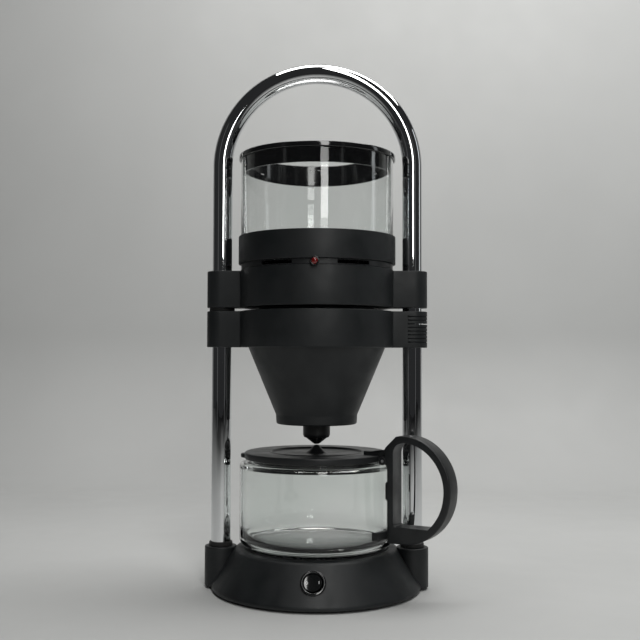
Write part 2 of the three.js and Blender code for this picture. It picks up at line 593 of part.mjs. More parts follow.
// The lid carries the drip cone, a pouring tab and a rib that ends in the thumb lever over the hinge.
function jugLid() {
  const disc = turned([
    [0, LID_Z + 1.4], [55.5, LID_Z + 1.4], [55.5, 110], [57.5, 110], [57.5, LID_Z], [63.6, LID_Z],
    [63.6, LID_Z - 0.6], [LID_R, LID_Z - 0.6], [LID_R, LID_TOP_Z - 1], [LID_R - 1, LID_TOP_Z],
    [43.2, LID_TOP_Z], [42.3, LID_TOP_Z + 0.6], [41, LID_TOP_Z + 0.6], [40.4, LID_TOP_Z - 1.2],
    [9.6, LID_TOP_Z - 1.4], [1.9, 129.2], [0, 129.2],
  ]);
  const tabBlank = at(rod(9, LID_Z - 0.6, LID_TOP_Z - 1.7, 20), 60.3, 0);
  const tab = cut(tabBlank, rod(LID_R - 0.8, 100, 140, ROUND)).rotate([0, 0, SPOUT_TURN_DEG]);
  const lever = new THREE.Shape();
  lever.moveTo(50, LID_TOP_Z - 1);
  lever.lineTo(64, LID_Z);
  lever.lineTo(PIN_X, HINGE_Z - 2);
  lever.lineTo(PIN_X + 3.5, HINGE_Z + 1);
  lever.lineTo(75.4, 129.4);
  lever.lineTo(71.4, 129.8);
  lever.lineTo(66, 126.2);
  lever.lineTo(50, 126.4);
  const arm = join(slab(lever, LEVER_W), across(rod(3.5, -LEVER_W / 2, LEVER_W / 2, 14)));
  const knuckleRelief = ring(JUG_R + 1, JUG_NECK_R - GLASS - 1.4, 100, LID_Z - 0.1, ROUND);
  return cut(join(disc, tab, cut(arm, knuckleRelief)), pinHole);
}
add("jug_lid", jugLid(), SATIN, jug);
add("lid_hinge_pin", across(rod(PIN_R, -HANDLE_W / 2 + 0.6, HANDLE_W / 2 - 0.6, 12)), STEEL, jug);

export default machine;
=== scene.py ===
"""Looks of the filter coffee maker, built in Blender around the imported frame."""
import math

import bmesh
import bpy
from mathutils import Matrix, Vector


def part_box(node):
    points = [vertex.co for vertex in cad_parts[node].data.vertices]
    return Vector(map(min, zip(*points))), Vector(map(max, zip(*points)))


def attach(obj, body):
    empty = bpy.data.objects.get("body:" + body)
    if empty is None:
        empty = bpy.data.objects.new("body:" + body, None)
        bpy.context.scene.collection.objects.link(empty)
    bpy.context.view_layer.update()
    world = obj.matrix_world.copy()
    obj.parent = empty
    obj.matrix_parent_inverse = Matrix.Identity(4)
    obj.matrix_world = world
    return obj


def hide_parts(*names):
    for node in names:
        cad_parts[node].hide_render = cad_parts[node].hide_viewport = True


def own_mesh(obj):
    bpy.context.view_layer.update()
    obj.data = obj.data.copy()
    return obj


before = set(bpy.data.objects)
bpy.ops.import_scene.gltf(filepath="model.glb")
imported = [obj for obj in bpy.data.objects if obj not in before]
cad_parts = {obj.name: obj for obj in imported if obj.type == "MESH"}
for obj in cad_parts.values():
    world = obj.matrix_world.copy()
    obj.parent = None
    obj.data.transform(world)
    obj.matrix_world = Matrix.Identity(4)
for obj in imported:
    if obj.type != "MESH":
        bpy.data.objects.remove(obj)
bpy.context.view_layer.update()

MM = 0.001
RIM_FACETS = 160
SMALL_FACETS = 72
GLASS_FACETS = 192

# ---- places read from the frame ----
SKIN = 0.02 * MM             # visible skins stay this far inside the CAD box


def low(node):
    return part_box(node)[0]


def high(node):
    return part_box(node)[1]


TUBE_X = 87.25 * MM
TUBE_R = high("frame_tube").y
ARCH_TOP = high("frame_tube").z
TUBE_FOOT = low("frame_tube").z
BASE_LOW = low("base_housing").z
BASE_TOP = high("base_housing").z
BASE_R = high("base_housing").y
POST_R = high("base_housing").x - TUBE_X
HOLDER_LOW = low("filter_holder").z
HOLDER_TOP = high("filter_holder").z
HOLDER_R = high("filter_holder").y
EAR_R = high("filter_holder").x - TUBE_X
HOUSING_LOW = low("boiler_housing").z
HOUSING_TOP = high("boiler_housing").z
HOUSING_R = high("boiler_housing").y
COLLAR_LOW = low("boiler_collar").z
COLLAR_TOP = high("boiler_collar").z
COLLAR_R = high("boiler_collar").y
TANK_R = high("tank_glass").y
TANK_LOW = low("tank_glass").z
TANK_TOP = high("tank_glass").z
RIM_TOP = high("tank_rim").z
RIM_LOW = low("tank_rim").z
RIM_R = high("tank_rim").y
CONE_LOW = low("filter_cone").z
JUG_LOW = low("jug_glass").z
JUG_TOP = high("jug_glass").z
JUG_R = 70 * MM
PLATE_TOP = high("hot_plate").z
JUG_TURN = math.radians(-28)

# ---- camera: the view of the photograph ----
CAMERA_DISTANCE = 0.896
CAMERA_HEIGHT = 0.2119
CAMERA_AZIMUTH = math.radians(1.7)
CAMERA_PITCH = 0.0350
CAMERA_ROLL = 0.0029
CAMERA_LENS = 54.9
CAMERA_SHIFT = 0.0049


def add_camera():
    data = bpy.data.cameras.new("camera")
    data.sensor_width = 36
    data.lens = CAMERA_LENS
    data.shift_x = CAMERA_SHIFT
    data.clip_start = 0.01
    camera = bpy.data.objects.new("camera", data)
    bpy.context.scene.collection.objects.link(camera)
    camera.location = (
        CAMERA_DISTANCE * math.sin(CAMERA_AZIMUTH),
        -CAMERA_DISTANCE * math.cos(CAMERA_AZIMUTH),
        CAMERA_HEIGHT,
    )
    turn = Matrix.Rotation(CAMERA_AZIMUTH, 4, "Z")
    tilt = Matrix.Rotation(math.pi / 2 + CAMERA_PITCH, 4, "X")
    roll = Matrix.Rotation(CAMERA_ROLL, 4, "Z")
    camera.rotation_euler = (turn @ tilt @ roll).to_euler()
    bpy.context.scene.camera = camera


add_camera()


# ---- materials ----
class Nodes:
    """A material with one Principled shader and a few helpers for its node tree."""

    def __init__(self, name):
        self.material = bpy.data.materials.new(name)
        self.material.use_nodes = True
        self.tree = self.material.node_tree
        self.shader = self.tree.nodes["Principled BSDF"]
        self.coordinates = self.new("ShaderNodeTexCoord").outputs["Object"]

    def new(self, kind):
        return self.tree.nodes.new(kind)

    def link(self, source, target):
        self.tree.links.new(source, target)

    def set(self, **values):
        for name, value in values.items():
            self.shader.inputs[name.replace("_", " ")].default_value = value

    def noise(self, scale, detail=4, stretch=(1, 1, 1)):
        mapping = self.new("ShaderNodeMapping")
        mapping.inputs["Scale"].default_value = stretch
        texture = self.new("ShaderNodeTexNoise")
        texture.inputs["Scale"].default_value = scale
        texture.inputs["Detail"].default_value = detail
        self.link(self.coordinates, mapping.inputs["Vector"])
        self.link(mapping.outputs["Vector"], texture.inputs["Vector"])
        return texture.outputs["Fac"]

    def ramp(self, factor, low_value, high_value, start=0.35, end=0.65):
        ramp = self.new("ShaderNodeMapRange")
        ramp.inputs["From Min"].default_value = start
        ramp.inputs["From Max"].default_value = end
        ramp.inputs["To Min"].default_value = low_value
        ramp.inputs["To Max"].default_value = high_value
        self.link(factor, ramp.inputs["Value"])
        return ramp.outputs["Result"]

    def tint(self, factor, dark, light, start=0.35, end=0.65):
        ramp = self.new("ShaderNodeValToRGB")
        ramp.color_ramp.elements[0].position = start
        ramp.color_ramp.elements[0].color = (*dark, 1)
        ramp.color_ramp.elements[1].position = end
        ramp.color_ramp.elements[1].color = (*light, 1)
        self.link(factor, ramp.inputs["Fac"])
        return ramp.outputs["Color"]

    def bump(self, height, distance, strength=1.0):
        bump = self.new("ShaderNodeBump")
        bump.inputs["Distance"].default_value = distance
        bump.inputs["Strength"].default_value = strength
        self.link(height, bump.inputs["Height"])
        self.link(bump.outputs["Normal"], self.shader.inputs["Normal"])


def moulded(name, dark, light, rough_low, rough_high, grain=1500, depth=0.03 * MM, sheen=0.0):
    """Moulded plastic: spark-eroded grain, faint flow mottling and handled, slightly polished patches."""
    m = Nodes(name)
    m.link(m.tint(m.noise(26, 3), dark, light), m.shader.inputs["Base Color"])
    m.link(m.ramp(m.noise(60, 5), rough_low, rough_high), m.shader.inputs["Roughness"])
    m.bump(m.noise(grain, 2), depth, 0.35)
    m.set(IOR=1.5, Sheen_Weight=sheen)
    return m.material


def glossy(name, dark, light, rough=0.08, coat=0.5):
    m = Nodes(name)
    m.link(m.tint(m.noise(40, 3), dark, light), m.shader.inputs["Base Color"])
    m.link(m.ramp(m.noise(90, 6), rough, rough + 0.08), m.shader.inputs["Roughness"])
    m.bump(m.noise(25, 2), 0.05 * MM, 0.08)
    m.set(Coat_Weight=coat, Coat_Roughness=0.04, IOR=1.52)
    return m.material


def metal(name, dark, light, rough_low, rough_high, stretch=(1, 1, 1), scale=120, depth=0.0):
    m = Nodes(name)
    m.link(m.tint(m.noise(scale, 4, stretch), dark, light), m.shader.inputs["Base Color"])
    m.link(m.ramp(m.noise(scale * 2, 5, stretch), rough_low, rough_high), m.shader.inputs["Roughness"])
    if depth:
        m.bump(m.noise(scale * 4, 3, stretch), depth, 0.3)
    m.set(Metallic=1.0)
    return m.material


def clear_glass(name, tint):
    """Clear drawn glass, very slightly uneven, with faint smears."""
    m = Nodes(name)
    m.link(m.tint(m.noise(14, 3), tint, (0.985, 0.995, 0.99)), m.shader.inputs["Base Color"])
    m.link(m.ramp(m.noise(30, 6, (1, 1, 0.25)), 0.0, 0.035, 0.55, 0.8), m.shader.inputs["Roughness"])
    m.bump(m.noise(9, 2, (1, 1, 0.4)), 0.12 * MM, 0.12)
    m.set(Transmission_Weight=1.0, IOR=1.47)
    return m.material


BLACK = moulded("matte_black_plastic", (0.0062, 0.0078, 0.0088), (0.0092, 0.0112, 0.0124), 0.44, 0.58)
SATIN = moulded("satin_black_plastic", (0.0085, 0.0095, 0.0105), (0.0125, 0.0138, 0.0150), 0.34, 0.48,
                grain=1100, depth=0.02 * MM)
GLOSS = glossy("polished_black_plastic", (0.004, 0.0045, 0.005), (0.009, 0.0095, 0.010))
PLATE = glossy("enamelled_hot_plate", (0.006, 0.006, 0.007), (0.013, 0.013, 0.013), 0.16, 0.3)
RUBBER = moulded("soft_black_rubber", (0.006, 0.006, 0.006), (0.011, 0.011, 0.011), 0.65, 0.85,
                 grain=700, depth=0.05 * MM, sheen=0.08)
CHROME = metal("mirror_chrome", (0.70, 0.71, 0.72), (0.80, 0.81, 0.82), 0.015, 0.05, (1, 1, 0.2), 40)
STEEL = metal("bright_steel", (0.46, 0.46, 0.47), (0.62, 0.62, 0.63), 0.18, 0.34, (1, 1, 1), 200, 0.02 * MM)
BRUSHED = metal("brushed_tank_floor", (0.42, 0.42, 0.42), (0.60, 0.60, 0.60), 0.22, 0.36, (1, 18, 1), 60,
                0.02 * MM)
BRASS = metal("turned_brass", (0.45, 0.30, 0.10), (0.62, 0.44, 0.18), 0.2, 0.36, (1, 1, 6), 150, 0.02 * MM)
TANK_GLASS = clear_glass("tank_glass_clear", (0.95, 0.975, 0.965))
JUG_GLASS = clear_glass("jug_glass_clear", (0.94, 0.97, 0.955))
SILICONE = moulded("grey_silicone", (0.30, 0.29, 0.27), (0.40, 0.385, 0.36), 0.45, 0.6)


def lamp_red():
    m = Nodes("red_lens_plastic")
    m.link(m.tint(m.noise(300, 2), (0.16, 0.004, 0.004), (0.30, 0.008, 0.008)),
           m.shader.inputs["Base Color"])
    m.link(m.ramp(m.noise(200, 3), 0.04, 0.1), m.shader.inputs["Roughness"])
    m.set(Transmission_Weight=0.35, Coat_Weight=0.8, IOR=1.5)
    return m.material


def print_white():
    m = Nodes("white_printing_ink")
    m.link(m.tint(m.noise(900, 3), (0.55, 0.56, 0.56), (0.78, 0.79, 0.79), 0.3, 0.55),
           m.shader.inputs["Base Color"])
    m.link(m.ramp(m.noise(500, 3), 0.4, 0.6), m.shader.inputs["Roughness"])
    return m.material


LAMP = lamp_red()
WHITE = print_white()


# ---- mesh helpers ----
def finish_piece(name, mesh, material, body, slot, replaces=(), smooth_deg=32):
    piece = bpy.data.objects.new(name, mesh)
    bpy.context.scene.collection.objects.link(piece)
    if smooth_deg:
        mesh.shade_smooth()
        mesh.set_sharp_from_angle(angle=math.radians(smooth_deg))
    mesh.materials.clear()
    mesh.materials.append(material)
    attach(piece, body)
    if replaces:
        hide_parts(*replaces)
    return piece


def turned_mesh(profile, facets=RIM_FACETS):
    """A closed [radius, z] profile turned about Z. Points with radius 0 become one point on the axis."""
    bm = bmesh.new()
    rings = []
    for radius, z in profile:
        if radius < 1e-9:
            rings.append([bm.verts.new((0, 0, z))])
        else:
            rings.append([
                bm.verts.new((radius * math.cos(2 * math.pi * i / facets),
                              radius * math.sin(2 * math.pi * i / facets), z))
                for i in range(facets)
            ])
    pairs = list(zip(rings, rings[1:]))
    if len(rings[0]) > 1 or len(rings[-1]) > 1:
        pairs.append((rings[-1], rings[0]))
    for a, b in pairs:
        for i in range(facets):
            j = (i + 1) % facets
            corners = [a[i % len(a)], a[j % len(a)], b[j % len(b)], b[i % len(b)]]
            unique = list(dict.fromkeys(corners))
            if len(unique) > 2:
                bm.faces.new(unique)
    return closed_mesh(bm)


def closed_mesh(bm):
    bmesh.ops.remove_doubles(bm, verts=bm.verts, dist=1e-7)
    bmesh.ops.recalc_face_normals(bm, faces=bm.faces)
    if bm.calc_volume(signed=True) < 0:
        bmesh.ops.reverse_faces(bm, faces=bm.faces)
    mesh = bpy.data.meshes.new("mesh")
    bm.to_mesh(mesh)
    bm.free()
    return mesh


def rounded(points, radius, steps=5):
    """Rounds the corners of a closed [r, z] outline. radius is one number, or one for each point."""
    radii = radius if isinstance(radius, (list, tuple)) else [radius] * len(points)
    result = []
    count = len(points)
    for i, corner in enumerate(points):
        here = Vector(corner)
        before = Vector(points[i - 1]) - here
        after = Vector(points[(i + 1) % count]) - here
        size = min(radii[i], 0.45 * before.length, 0.45 * after.length)
        if size <= 0:
            result.append(tuple(here))
            continue
        start = here + before.normalized() * size
        end = here + after.normalized() * size
        for k in range(steps + 1):
            t = k / steps
            result.append(tuple(start * (1 - t) ** 2 + here * (2 * t * (1 - t)) + end * t ** 2))
    return result


def prism_mesh(outline, z_low, z_high, edge):
    """An upright prism of an XY outline whose top and bottom edges are rounded by edge."""
    count = len(outline)
    points = [Vector(p) for p in outline]
    area = sum(points[i - 1].x * points[i].y - points[i].x * points[i - 1].y for i in range(count))
    inward = []
    for i in range(count):
        along = (points[(i + 1) % count] - points[i - 1]).normalized()
        normal = Vector((-along.y, along.x)) * (1 if area > 0 else -1)
        inward.append(normal)
    levels = []
    for k in range(5):
        a = math.pi / 2 * k / 4
        levels.append((edge * (1 - math.sin(a)), z_low + edge * (1 - math.cos(a))))
    levels += [(inset, z_low + z_high - z) for inset, z in reversed(levels)]
    bm = bmesh.new()
    rings = [[bm.verts.new((*(points[i] + inward[i] * inset), z)) for i in range(count)]
             for inset, z in levels]
    for a, b in zip(rings, rings[1:]):
        for i in range(count):
            j = (i + 1) % count
            bm.faces.new([a[i], a[j], b[j], b[i]])
    bm.faces.new(list(reversed(rings[0])))
    bm.faces.new(rings[-1])
    return closed_mesh(bm)


def combined(base, operation, *tools):
    """Boolean of meshes: base joined with or cut by each tool, in order."""
    scene = bpy.context.scene
    body = bpy.data.objects.new("work", base)
    scene.collection.objects.link(body)
    for tool in tools:
        other = bpy.data.objects.new("tool", tool)
        scene.collection.objects.link(other)
        modifier = body.modifiers.new("boolean", "BOOLEAN")
        modifier.operation = operation
        modifier.solver = "EXACT"
        modifier.object = other
        depsgraph = bpy.context.evaluated_depsgraph_get()
        result = bpy.data.meshes.new_from_object(body.evaluated_get(depsgraph))
        body.modifiers.clear()
        body.data = result
        bpy.data.objects.remove(other)
    mesh = body.data
    bpy.data.objects.remove(body)
    return mesh


def union(base, *tools):
    return combined(base, "UNION", *tools)


def difference(base, *tools):
    return combined(base, "DIFFERENCE", *tools)


def intersection(base, *tools):
    return combined(base, "INTERSECT", *tools)


def moved(mesh, x=0.0, y=0.0, z=0.0):
    mesh.transform(Matrix.Translation((x, y, z)))
    return mesh


def cylinder(radius, z_low, z_high, facets=SMALL_FACETS):
    return turned_mesh([(0, z_low), (radius, z_low), (radius, z_high), (0, z_high)], facets)


def box_mesh(x0, x1, y0, y1, z0, z1):
    bm = bmesh.new()
    bmesh.ops.create_cube(bm, size=1)
    mesh = closed_mesh(bm)
    mesh.transform(Matrix.Translation(((x0 + x1) / 2, (y0 + y1) / 2, (z0 + z1) / 2))
                   @ Matrix.Diagonal((x1 - x0, y1 - y0, z1 - z0, 1)))
    return mesh


def arc(cx, cy, radius, start, end, steps):
    return [(cx + radius * math.cos(start + (end - start) * k / steps),
             cy + radius * math.sin(start + (end - start) * k / steps)) for k in range(steps + 1)]


def mm(points):
    return [(a * MM, b * MM) for a, b in points]


def mm_list(values):
    return [v * MM for v in values]


def turned(points, radii, facets=RIM_FACETS):
    """A body turned about Z from a [radius, z] outline in mm, each corner rounded by its own radius."""
    return turned_mesh(rounded(mm(points), mm_list(radii)), facets)


TO_FRONT = Matrix.Rotation(math.pi / 2, 4, "X")
TO_BACK = Matrix.Rotation(-math.pi / 2, 4, "X")


# ---- outlines shared by the housing and the holder: a circle with an ear on each side ----
def eared_outline(radius, ear_radius, fillet=1.6 * MM):
    """Circle with two ears round the frame legs, flat in front and behind, filleted at the roots."""
    reach = ear_radius + fillet
    root_x = math.sqrt((radius + fillet) ** 2 - reach ** 2)
    contact = math.atan2(reach, root_x)
    outline = []
    outline += arc(0, 0, radius, contact, math.pi - contact, 96)
    outline += arc(-root_x, reach, fillet, -contact, -math.pi / 2, 5)
    outline += arc(-TUBE_X, 0, ear_radius, math.pi / 2, 3 * math.pi / 2, 40)
    outline += arc(-root_x, -reach, fillet, math.pi / 2, contact, 5)
    outline += arc(0, 0, radius, math.pi + contact, 2 * math.pi - contact, 96)
    outline += arc(root_x, -reach, fillet, math.pi - contact, math.pi / 2, 5)
    outline += arc(TUBE_X, 0, ear_radius, -math.pi / 2, math.pi / 2, 40)
    outline += arc(root_x, reach, fillet, -math.pi / 2, contact - math.pi, 5)
    return outline


# ---- frame tube ----
TUBE_WALL = 1.2 * MM


def frame_tube():
    facets = 64
    arch_steps = 120
    arch_z = ARCH_TOP - TUBE_R - TUBE_X
    path = [Vector((-TUBE_X, 0, TUBE_FOOT)), Vector((-TUBE_X, 0, TUBE_FOOT + (arch_z - TUBE_FOOT) / 2))]
    for k in range(arch_steps + 1):
        a = math.pi * (1 - k / arch_steps)
        path.append(Vector((TUBE_X * math.cos(a), 0, arch_z + TUBE_X * math.sin(a))))
    path += [Vector((TUBE_X, 0, TUBE_FOOT + (arch_z - TUBE_FOOT) / 2)), Vector((TUBE_X, 0, TUBE_FOOT))]
    bm = bmesh.new()
    loops = []
    for radius in (TUBE_R - SKIN, TUBE_R - TUBE_WALL):
        rings = []
        for i, point in enumerate(path):
            along = (path[min(i + 1, len(path) - 1)] - path[max(i - 1, 0)]).normalized()
            side = along.cross(Vector((0, 1, 0))).normalized()
            rings.append([
                bm.verts.new(point + (side * math.cos(2 * math.pi * j / facets)
                                      + Vector((0, 1, 0)) * math.sin(2 * math.pi * j / facets)) * radius)
                for j in range(facets)
            ])
        loops.append(rings)
        for a, b in zip(rings, rings[1:]):
            for j in range(facets):
                k = (j + 1) % facets
                bm.faces.new([a[j], a[k], b[k], b[j]])
    for end in (0, -1):
        for j in range(facets):
            k = (j + 1) % facets
            bm.faces.new([loops[0][end][j], loops[0][end][k], loops[1][end][k], loops[1][end][j]])
    finish_piece("chrome_arch_frame", closed_mesh(bm), CHROME, "machine", "chrome", ["frame_tube"])


# ---- base ----
EDGE_Z = BASE_LOW + 3 * MM
BASE_SHOULDER_R = 73 * MM
SLOPE = (BASE_R - BASE_SHOULDER_R) / (BASE_TOP - EDGE_Z)
BASE_WALL = 2.6 * MM
PLATE_WELL_R = 65.8 * MM
GLAND_Z = 12 * MM
SWITCH_Z = 22.6 * MM
SWITCH_Y = -(BASE_R - (SWITCH_Z - EDGE_Z) * SLOPE)
SWITCH_TILT = math.pi / 2 - math.atan(SLOPE)
ONTO_SLOPE = Matrix.Translation((0, SWITCH_Y, SWITCH_Z)) @ Matrix.Rotation(SWITCH_TILT, 4, "X")


def base():
    profile = rounded(
        [(0, BASE_LOW), (BASE_R - SKIN, BASE_LOW), (BASE_R - SKIN, EDGE_Z),
         (BASE_SHOULDER_R, BASE_TOP), (PLATE_WELL_R, BASE_TOP), (PLATE_WELL_R, BASE_TOP - 5 * MM),
         (0, BASE_TOP - 5 * MM)],
        mm_list([0, 0.8, 1.4, 3.4, 0.5, 0, 0]))
    skin = turned_mesh(profile)
    posts = []
    for side in (-1, 1):
        post = turned_mesh(rounded(
            [(0, BASE_LOW), (POST_R - SKIN, BASE_LOW), (POST_R - SKIN, BASE_TOP), (0, BASE_TOP)],
            mm_list([0, 0.6, 1.1, 0])), 96)
        posts.append(moved(post, side * TUBE_X))
    body = union(skin, *posts)
    cuts = []
    inner = turned_mesh([
        (0, BASE_LOW - 5 * MM), (BASE_R - BASE_WALL, BASE_LOW - 5 * MM), (BASE_R - BASE_WALL, EDGE_Z),
        (BASE_SHOULDER_R - 5 * MM, BASE_TOP - 7.6 * MM), (0, BASE_TOP - 7.6 * MM)])
    cuts.append(inner)
    for side in (-1, 1):
        bore = cylinder(TUBE_R + 0.3 * MM, BASE_LOW + 8 * MM, BASE_TOP + 5 * MM)
        grommet_seat = cylinder(TUBE_R + 1.5 * MM, BASE_TOP - 2 * MM, BASE_TOP + 5 * MM)
        post_recess = cylinder(POST_R - BASE_WALL, BASE_LOW - 1 * MM, BASE_LOW + 4.5 * MM)
        cuts += [moved(cut, side * TUBE_X) for cut in (bore, grommet_seat, post_recess)]
    switch_hole = cylinder(10.0 * MM, -12 * MM, 6 * MM)
    switch_hole.transform(ONTO_SLOPE)
    cuts.append(switch_hole)
    gland_hole = cylinder(4.9 * MM, -12 * MM, 12 * MM, 48)
    gland_hole.transform(Matrix.Translation((0, BASE_R - 6 * MM, GLAND_Z)) @ TO_BACK)
    cuts.append(gland_hole)
    finish_piece("base_shell", difference(body, *cuts), BLACK, "machine", "matte_black", ["base_housing"])


def hot_plate():
    top = PLATE_TOP
    plate = turned_mesh(rounded(
        [(0, top - 2 * MM), (58 * MM, top - 2 * MM), (58 * MM, top - 1.1 * MM), (60.8 * MM, top - 1.1 * MM),
         (61.4 * MM, top), (50 * MM, top), (49.4 * MM, top - 0.25 * MM), (46 * MM, top - 0.25 * MM),
         (45.4 * MM, top), (0, top)],
        mm_list([0, 0, 0, 0.3, 0.6, 0.2, 0.2, 0.2, 0.2, 0])))
    finish_piece("hot_plate_disc", plate, PLATE, "machine", "gloss_black", ["hot_plate"])
    seal_low = low("hot_plate_seal").z
    shelf, crown = BASE_TOP - 2.9 * MM, BASE_TOP + 0.55 * MM
    ledge = BASE_TOP - 0.3 * MM
    seal = turned_mesh(rounded(
        [(58.4 * MM, seal_low), (64 * MM, seal_low), (64 * MM, shelf), (65.4 * MM, shelf),
         (65.4 * MM, BASE_TOP + 0.1 * MM), (63.6 * MM, crown), (61.9 * MM, crown), (61.9 * MM, ledge),
         (58.4 * MM, ledge)],
        mm_list([0.3, 0.3, 0.3, 0.3, 0.5, 0.6, 0.3, 0.2, 0.2])))
    finish_piece("hot_plate_gasket", seal, RUBBER, "machine", "rubber", ["hot_plate_seal"])


def grommets():
    for name, side in (("left", -1), ("right", 1)):
        node = f"tube_grommet_{name}"
        bottom, top = low(node).z, high(node).z
        lip = BASE_TOP + 0.3 * MM
        mesh = turned_mesh(rounded(
            [(TUBE_R + 0.25 * MM, bottom), (TUBE_R + 1.2 * MM, bottom), (TUBE_R + 1.2 * MM, lip),
             (TUBE_R + 1.85 * MM, lip), (TUBE_R + 1.5 * MM, top - 0.5 * MM), (TUBE_R + 0.9 * MM, top),
             (TUBE_R + 0.15 * MM, top)],
            mm_list([0, 0.1, 0.1, 0.3, 0.4, 0.3, 0.1])), SMALL_FACETS)
        finish_piece(f"leg_collar_{name}", moved(mesh, side * TUBE_X), RUBBER, "machine", "rubber", [node])


DISH_R = 30 * MM
DISH_Z = 31.2 * MM
ROCKER_REST_DEG = -7
MARK_X = 5.2 * MM


def switch():
    bezel = turned([(8.5, -14), (9.6, -14), (9.6, 0.3), (10.85, 0.3), (10.7, 1.5), (9.2, 1.8), (8.5, 1.2)],
                   [0, 0, 0.1, 0.3, 0.6, 0.6, 0.3], 96)
    bezel.transform(ONTO_SLOPE)
    finish_piece("switch_bezel", bezel, GLOSS, "machine", "gloss_black", ["switch_body"])

    button = turned([(0, -3.2), (7.45, -3.2), (7.45, 2.15), (0, 2.15)], [0, 0.3, 0.45, 0], 96)
    rocker = difference(button, dish_cutter())
    rest_tilt = Matrix.Rotation(math.radians(ROCKER_REST_DEG), 4, "Y")
    rocker.transform(ONTO_SLOPE @ rest_tilt)
    finish_piece("switch_rocker_cap", rocker, GLOSS, "rocker", "gloss_black", ["switch_rocker"])

    ring = turned_mesh(mm([(0.62, 0), (1.12, 0), (1.12, 0.06), (0.62, 0.06)]), 48)
    ring.transform(Matrix.Diagonal((1, 1.25, 1, 1)))
    bar = box_mesh(-0.28 * MM, 0.28 * MM, -1.25 * MM, 1.25 * MM, 0, 0.06 * MM)
    for name, mark, x in (("off", ring, -MARK_X), ("on", bar, MARK_X)):
        height = dish_height(x) + 0.02 * MM
        tilt = Matrix.Rotation(-math.asin(x / DISH_R), 4, "Y")
        mark.transform(ONTO_SLOPE @ rest_tilt @ Matrix.Translation((x, 0, height)) @ tilt)
        finish_piece(f"switch_mark_{name}", mark, WHITE, "rocker", "gloss_black")


def dish_height(x):
    return DISH_Z - math.sqrt(DISH_R ** 2 - x ** 2)


def dish_cutter():
    cutter = cylinder(DISH_R, -14 * MM, 14 * MM, 256)
    cutter.transform(Matrix.Translation((0, 0, DISH_Z)) @ TO_FRONT)
    return cutter


def underside():
    for i in range(1, 5):
        node = f"foot_{i}"
        a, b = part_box(node)
        mesh = turned(
            [(0, 0.5), (4.4, 0.5), (5.0, 0), (6.6, 0), (7.45, 0.9), (7.45, 1.9), (3, 1.9), (3, 6), (0, 6)],
            [0, 0.2, 0.2, 0.5, 0.3, 0.1, 0, 0, 0], SMALL_FACETS)
        moved(mesh, (a.x + b.x) / 2, (a.y + b.y) / 2)
        finish_piece(f"rubber_foot_{i}", mesh, RUBBER, "machine", "rubber", [node])
    a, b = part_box("cord_gland")
    gland = turned([(3.4, -4), (4.7, -4), (4.7, 6.4), (7.15, 6.4), (7.0, 7.6), (6.4, 10), (3.4, 10)],
                   [0.2, 0.2, 0.1, 0.3, 0.3, 0.8, 0.5], SMALL_FACETS)
    gland.transform(Matrix.Translation((0, b.y - 10 * MM, (a.z + b.z) / 2)) @ TO_BACK)
    finish_piece("cord_inlet_gland", gland, RUBBER, "machine", "rubber", ["cord_gland"])


# ---- boiler and tank ----
def boiler_housing():
    edge = 0.7 * MM
    body = prism_mesh(eared_outline(HOUSING_R, EAR_R - SKIN), HOUSING_LOW, HOUSING_TOP - 1 * MM, edge)
    crown = turned_mesh(rounded(
        [(0, HOUSING_TOP - 3 * MM), (HOUSING_R - SKIN, HOUSING_TOP - 3 * MM),
         (HOUSING_R - SKIN, HOUSING_TOP), (0, HOUSING_TOP)],
        mm_list([0, 0, 0.4, 0])))
    tools = [
        cylinder(HOUSING_R - 2.6 * MM, HOUSING_LOW + 2.6 * MM, HOUSING_TOP + 2 * MM, RIM_FACETS),
        cylinder(11 * MM, HOUSING_LOW - 1 * MM, HOUSING_LOW + 4 * MM),
    ]
    for side in (-1, 1):
        bore = cylinder(TUBE_R + 0.25 * MM, HOUSING_LOW - 1 * MM, HOUSING_TOP + 1 * MM)
        tools.append(moved(bore, side * TUBE_X))
    finish_piece("boiler_shell", difference(union(body, crown), *tools), BLACK, "machine", "matte_black",
                 ["boiler_housing"])


VENT_SLOT_DEG = (-119.3, -60.7, 60.7, 119.3)
VENT_SLOT_HALF = 15.6 * MM


